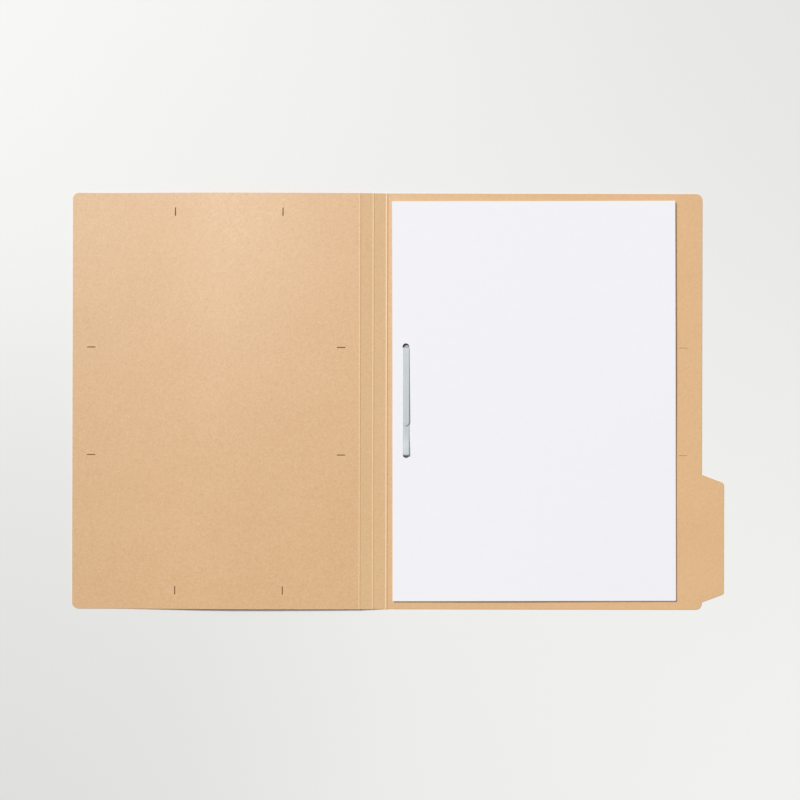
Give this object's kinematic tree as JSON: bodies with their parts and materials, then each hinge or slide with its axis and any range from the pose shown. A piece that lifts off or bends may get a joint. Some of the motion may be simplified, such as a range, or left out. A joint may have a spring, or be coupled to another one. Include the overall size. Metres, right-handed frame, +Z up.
{
  "type": "document holder",
  "caption": "Open kraft-board file folder with a scored spine, index tab and slits, holding punched sheets on a folded two-prong metal strip fastener.",
  "frame": {"origin": "on the table, under the middle of the open folder and its tab", "axes": "+X across the open folder towards the tab, +Y up along the spine, +Z up from the table"},
  "size_m": [0.485, 0.3094, 0.0055],
  "materials": {
    "kraft_board": "uncoated kraft board, matte, with fine fibres",
    "sheet_paper": "plain white office paper, matte",
    "fastener_steel": "tinned spring strip, satin"
  },
  "bodies": {
    "back_leaf": {"back_cover": "kraft_board", "fastener_base": "fastener_steel", "sheet_01": "sheet_paper", "sheet_02": "sheet_paper", "sheet_03": "sheet_paper", "sheet_04": "sheet_paper", "sheet_05": "sheet_paper", "sheet_06": "sheet_paper", "sheet_07": "sheet_paper", "sheet_08": "sheet_paper", "sheet_09": "sheet_paper", "sheet_10": "sheet_paper", "sheet_11": "sheet_paper", "sheet_12": "sheet_paper", "sheet_13": "sheet_paper", "sheet_14": "sheet_paper", "sheet_15": "sheet_paper", "sheet_16": "sheet_paper", "sheet_17": "sheet_paper", "sheet_18": "sheet_paper", "sheet_19": "sheet_paper", "sheet_20": "sheet_paper", "sheet_21": "sheet_paper", "sheet_22": "sheet_paper"},
    "inner_strip": {"spine_strip_inner": "kraft_board"},
    "outer_strip": {"spine_strip_outer": "kraft_board"},
    "front_leaf": {"front_cover": "kraft_board"},
    "upper_tongue": {"upper_prong": "fastener_steel"},
    "lower_tongue": {"lower_prong": "fastener_steel"}
  },
  "joints": [
    {"name": "main_fold", "type": "hinge", "parent": "back_leaf", "child": "inner_strip", "pos_m": [-0.00865, 0, 0.0005], "axis": [0, 1, 0], "range_deg": [0, 90]},
    {"name": "middle_score", "type": "hinge", "parent": "inner_strip", "child": "outer_strip", "pos_m": [-0.0186, 0, 0.00155], "axis": [0, 1, 0], "range_deg": [0, 45]},
    {"name": "cover_score", "type": "hinge", "parent": "outer_strip", "child": "front_leaf", "pos_m": [-0.02855, 0, 0.00259], "axis": [0, 1, 0], "range_deg": [0, 45]},
    {"name": "upper_prong_lift", "type": "hinge", "parent": "back_leaf", "child": "upper_tongue", "pos_m": [0.00575, 0.04, 0.00352], "axis": [-1, 0, 0], "range_deg": [0, 175]},
    {"name": "lower_prong_lift", "type": "hinge", "parent": "back_leaf", "child": "lower_tongue", "pos_m": [0.00575, -0.04, 0.00507], "axis": [1, 0, 0], "range_deg": [0, 175]}
  ],
  "couplings": [
    {"joint": "lower_prong_lift", "follows": "upper_prong_lift", "ratio": 1}
  ]
}
